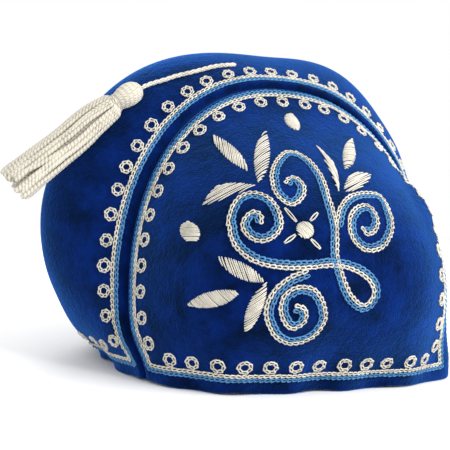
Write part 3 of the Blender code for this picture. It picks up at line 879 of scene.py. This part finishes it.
def satin_shape(middle, ahead, half_length, half_width, bow, slant, pointed):
    """Laid threads over a leaf or a dot, all at one slant."""
    middle, ahead = np.array(middle), np.array(ahead)
    across = np.array([-ahead[1], ahead[0]])
    step_way = np.array([-math.sin(slant), math.cos(slant)])

    def inside(point):
        u = np.dot(point - middle, ahead) / half_length
        v = (np.dot(point - middle, across) - bow * (1 - u * u)) / half_width
        if abs(u) >= 1:
            return False
        if pointed:
            return abs(v) < math.cos(math.pi / 2 * abs(u) ** LEAF_POINT) ** LEAF_FULLNESS
        return u * u + v * v < 1

    parts = []
    reach = half_length + half_width
    offset = -reach
    while offset < reach:
        step = SATIN_PITCH * draw.uniform(0.9, 1.1)
        offset += step + (SATIN_GAP if draw.uniform() < SATIN_GAP_SHARE else 0.0)
        thread_slant = slant + draw.normal(0.0, SATIN_WOBBLE)
        way = np.array([math.cos(thread_slant), math.sin(thread_slant)])
        base = middle + step_way * offset
        kept = [s for s in np.arange(-reach, reach, SATIN_LOOK) if inside(base + way * s)]
        if len(kept) < SATIN_FEWEST:
            continue
        first = base + way * kept[0]
        second = base + way * (kept[-1] + draw.uniform(0.0, SATIN_LOOK))
        parts.append(satin_thread(first, second))
    return parts


def petal_thread(outer, inner, bow):
    """One side of a narrow loop, bowed out in its middle."""
    share = np.linspace(0.0, 1.0, PETAL_POINTS)
    flat = (np.outer(1 - share, outer) + np.outer(share, inner)
            + np.outer(PETAL_ENDS + (1 - PETAL_ENDS) * np.sin(math.pi * share), bow))
    places, outward = on_felt(near_surface, on_near_side(flat))
    return sweep(places + outward * PETAL_RADIUS * PETAL_OVER_FELT, outward,
                 np.full(PETAL_POINTS, PETAL_RADIUS), sides=6)


satin = []
for _, tip, foot, width, bow, slant in LEAVES:
    tip, foot = np.array(tip) / 1000, np.array(foot) / 1000
    length = np.linalg.norm(tip - foot)
    satin += satin_shape((tip + foot) / 2, (tip - foot) / length, length / 2, width / 2000,
                         bow / 1000, math.radians(slant), True)
for _, middle, (width, height), slant in DOTS:
    satin += satin_shape(np.array(middle) / 1000, (1.0, 0.0), width / 2000, height / 2000,
                         0.0, math.radians(slant), False)
for _, outer, inner in PETALS:
    outer, inner = np.array(outer) / 1000, np.array(inner) / 1000
    across = np.array([inner[1] - outer[1], outer[0] - inner[0]])
    across = across / np.linalg.norm(across)
    for side in (-1, 1):
        satin.append(petal_thread(outer, inner, across * side * PETAL_HALF_WIDTH))
leaves = new_piece("near_side_leaves", satin, white_thread)
finish_embroidery(leaves)
finish_embroidery(mirrored("far_side_leaves", leaves))

# Cord. A chain of cream yarn is sewn down behind the crown and runs on through the head
# of the tassel. Its way repeats the one that the construction gives it.
STRANDS = 3
STRAND_RADIUS = 0.00048
STRAND_ASIDE = 0.00055        # middle of a strand from the middle of the cord
STRAND_UP = 0.00045
TWIST_LENGTH = 0.0085         # of one turn of the strands
START_SUNK = 0.0011           # how deep the sewn-down start lies
START_LENGTH = 0.013
CORD_WAY = (
    (-0.0155, -0.0232, 0.1386), (-0.0195, -0.0234, 0.1374), (-0.0234, -0.0236, 0.1362),
    (-0.0273, -0.0236, 0.1349), (-0.0312, -0.0235, 0.1334), (-0.0351, -0.0231, 0.1320),
    (-0.0389, -0.0225, 0.1307), (-0.0428, -0.0217, 0.1294), (-0.0465, -0.0209, 0.1278),
    (-0.0504, -0.0202, 0.1263), (-0.0542, -0.0199, 0.1247), (-0.0579, -0.0209, 0.1225),
    (-0.0643, -0.0229, 0.1181), (-0.0699, -0.0215, 0.1136),
)
cord_line = smooth_curve(CORD_WAY)
_, cord_up = on_felt(band_surface, cord_line)
cord_parts = []
# The yarn's second colour is its darker tone and the painted shade of the grooves between its
# plies.
cord_yarn = twisted_thread("cream_cord_yarn", "#e0dacb", "#7f7867", 0.45, 0.4)
cord_length = run_along(cord_line)[-1]
run = np.linspace(0.0, 1.0, len(cord_line)) * cord_length
along = unit_rows(np.gradient(cord_line, axis=0))
up = square_to(cord_up, along)
aside = np.cross(along, up)
sunk = START_SUNK * (1 - np.clip(run / START_LENGTH, 0.0, 1.0)) ** 2
for lay in range(STRANDS):
    turn = lay * 2 * math.pi / STRANDS + 2 * math.pi * run / TWIST_LENGTH
    strand = (cord_line + aside * (np.cos(turn) * STRAND_ASIDE)[:, None]
              + up * (np.sin(turn) * STRAND_UP - sunk)[:, None])
    cord_parts.append(sweep(strand, up, np.full(len(strand), STRAND_RADIUS), sides=6))
cord_piece = new_piece("tassel_cord_yarn", cord_parts, cord_yarn)
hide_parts("tassel_cord")
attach(cord_piece, "root")

# Tassel. Yarn is gathered into a round head, bound at the neck, and hangs in a skirt of
# plied yarns that are cut level and spread a little at the tips.
TASSEL_WAY = CORD_WAY[-3:] + (  # through the head with the cord, and on down the skirt
    (-0.0781, -0.0193, 0.1067), (-0.0861, -0.0180, 0.0984), (-0.0953, -0.0168, 0.0899),
    (-0.1082, -0.0155, 0.0781), (-0.1151, -0.0151, 0.0717),
)
HEAD_LENGTH = 0.013
HEAD_DIAMETER = 0.0096
NECK_DIAMETER = 0.0070
SKIRT_LENGTH = 0.055
SKIRT_WIDTH = 0.0235
SKIRT_THICKNESS = 0.0120
HEAD_THREADS = 26
HEAD_THREAD_SPAN = (0.02, 1.06)  # share of the head's length that they cover
HEAD_THREAD_LEAN = 0.35       # radians round the head from end to end
HEAD_THREAD_SUNK = 0.0012     # how much narrower than the head they run
CORE_SUNK = 0.001             # of the head's filling, below its surface
CORE_SMALLEST = 0.0005
BINDING_TURNS = 4             # of yarn round the neck
BINDING_START = 0.98          # share of the head's length
BINDING_LENGTH = 0.0036
BINDING_DIAMETER = 0.0068
BINDING_RADIUS = 0.00055      # of its yarn
OUTER_YARNS = 25
OUTER_REACH = 0.86            # share of the skirt's width at which they hang
INNER_YARNS = 11
INNER_REACH = 0.42
INNER_START = 0.07            # share of a turn
YARN_SUNK = 0.0008            # how much narrower than the skirt they run
YARN_LENGTHS = (0.965, 1.03)
YARN_POINTS = 128
YARN_BOW = 0.12               # radians that a yarn strays halfway down
YARN_SPREAD = 0.16            # and at its tip
PLY_TURNS = 290.0             # turns of the plies in a metre
HEAD_PROFILE = (
    # share of the head's length, share of its diameter
    (0.0, 0.15), (0.03, 0.38), (0.14, 0.72), (0.32, 0.95), (0.52, 1.0), (0.74, 0.92),
    (1.0, 0.72),
)
HEAD_THREAD_RADII = ((0.0, 0.35), (0.2, 0.66), (0.6, 0.82), (1.0, 0.68))  # share, millimetres
SKIRT_PROFILE = (
    # share of the skirt's length, share of the way from the neck to the full size
    (0.0, 0.0), (0.05, 0.42), (0.2, 0.62), (0.36, 0.72), (0.6, 0.76), (0.8, 0.86), (1.0, 1.0),
)
YARN_RADII = ((0.0, 0.65), (0.1, 0.82), (0.5, 1.0), (0.97, 1.2), (1.0, 0.85))
tassel_line = smooth_curve(TASSEL_WAY)
tassel_run = run_along(tassel_line)
_, tassel_up = on_felt(band_surface, tassel_line)
tassel_up = relaxed(tassel_up, 12)
tassel_along = relaxed(unit_rows(np.gradient(tassel_line, axis=0)), 8)
tassel_up = square_to(tassel_up, tassel_along)
tassel_aside = np.cross(tassel_along, tassel_up)


def round_tassel(distance, turn, width, thick):
    """Places round the middle line of the tassel and the way out of it."""
    middle, aside, up = (
        read_line(rows, tassel_run, distance)
        for rows in (tassel_line, tassel_aside, tassel_up))
    out = aside * np.cos(turn)[:, None] + up * np.sin(turn)[:, None]
    place = (middle + aside * (np.cos(turn) * width / 2)[:, None]
             + up * (np.sin(turn) * thick / 2)[:, None])
    return place, out


tassel_parts = []
shares, sizes = np.array(HEAD_PROFILE).T
thread_shares, thread_radii = np.array(HEAD_THREAD_RADII).T
share = np.linspace(*HEAD_THREAD_SPAN, 16)
width = np.interp(share, shares, sizes) * HEAD_DIAMETER - HEAD_THREAD_SUNK
size = np.interp(share, thread_shares, thread_radii) / 1000
for number in range(HEAD_THREADS):
    turn = (2 * math.pi * (number + draw.uniform(-0.15, 0.15)) / HEAD_THREADS
            + HEAD_THREAD_LEAN * share)
    place, out = round_tassel(share * HEAD_LENGTH, turn, width, width)
    tassel_parts.append(sweep(place, out, size * draw.uniform(0.92, 1.08), sides=6))
share = np.linspace(*HEAD_THREAD_SPAN, 14)
core = np.interp(share, shares, sizes) * HEAD_DIAMETER / 2 - CORE_SUNK
middle, up = (read_line(rows, tassel_run, share * HEAD_LENGTH) for rows in (tassel_line, tassel_up))
tassel_parts.append(sweep(middle, up, np.maximum(core, CORE_SMALLEST), sides=10))
share = np.linspace(0.0, 1.0, BINDING_TURNS * 20)
place, out = round_tassel(
    HEAD_LENGTH * BINDING_START + share * BINDING_LENGTH, 2 * math.pi * BINDING_TURNS * share,
    BINDING_DIAMETER, BINDING_DIAMETER)
tassel_parts.append(sweep(place, out, np.full(len(share), BINDING_RADIUS), sides=6))

shares, fulls = np.array(SKIRT_PROFILE).T
radius_shares, radii = np.array(YARN_RADII).T
share = np.linspace(0.0, 1.0, YARN_POINTS)
size = np.interp(share, radius_shares, radii) / 1000
yarns = [(number / OUTER_YARNS, OUTER_REACH) for number in range(OUTER_YARNS)]
yarns += [(number / INNER_YARNS + INNER_START, INNER_REACH) for number in range(INNER_YARNS)]
for around, reach in yarns:
    length = SKIRT_LENGTH * draw.uniform(*YARN_LENGTHS)
    bow = draw.normal(0.0, YARN_BOW) * np.sin(math.pi * share)
    sway = bow + draw.normal(0.0, YARN_SPREAD) * share ** 2
    full = np.interp(share * length / SKIRT_LENGTH, shares, fulls)
    width, thick = (
        (NECK_DIAMETER + (widest - NECK_DIAMETER) * full) * reach - YARN_SUNK
        for widest in (SKIRT_WIDTH, SKIRT_THICKNESS))
    place, out = round_tassel(
        HEAD_LENGTH + share * length, 2 * math.pi * around + sway, width, thick)
    hand = 1 if draw.uniform() < 0.5 else -1
    tassel_parts.append(sweep(place, out, size, sides=10, lobes=2, turns=hand * PLY_TURNS,
                              start=draw.uniform(0.0, 6.0)))
# The yarn's second colour is its darker tone and the painted shade of the grooves between its
# plies.
tassel_yarn = twisted_thread("cream_tassel_yarn", "#d0cabb", "#989180", 0.24, 1.1)
tassel_piece = new_piece("tassel_yarns", tassel_parts, tassel_yarn)
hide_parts("tassel")
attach(tassel_piece, "root")

# Studio. A pale seamless table and two soft lamps, the brightest one high on the right in
# front, so the lower back of the cap falls off into shade.
TABLE_WIDTH = 6.0
TABLE_TOP = -0.0002           # just under the rim
bpy.ops.object.select_all(action="DESELECT")
bpy.ops.mesh.primitive_grid_add(
    x_subdivisions=8, y_subdivisions=8, size=TABLE_WIDTH, location=(0.0, 0.0, TABLE_TOP))
table = bpy.context.active_object
table.name = "pale_table"
bpy.ops.object.transform_apply(location=True)
paper, _, _ = new_material(
    "matt_white_paper", {"Base Color": linear("#fdfdfd"), "Roughness": 0.9})
table.data.materials.append(paper)
LAMPS = (
    # name, place, size, watts
    ("key", (0.55, -0.69, 0.62), 0.55, 10.0),
    ("back", (0.25, 0.8, 0.7), 0.8, 3.0),
)
for name, place, size, watts in LAMPS:
    lamp_data = bpy.data.lights.new(name + "_lamp", "AREA")
    lamp_data.size = size
    lamp_data.energy = watts
    lamp = bpy.data.objects.new(name + "_lamp", lamp_data)
    lamp.location = place
    lamp.rotation_euler = (CAMERA_TARGET - Vector(place)).to_track_quat("-Z", "Y").to_euler()
    bpy.context.scene.collection.objects.link(lamp)
world = bpy.data.worlds.new("pale_room")
world.use_nodes = True
world.node_tree.nodes["Background"].inputs["Color"].default_value = (1.0, 1.0, 1.0, 1.0)
world.node_tree.nodes["Background"].inputs["Strength"].default_value = 1.0
bpy.context.scene.world = world
bpy.context.scene.view_settings.view_transform = "Standard"
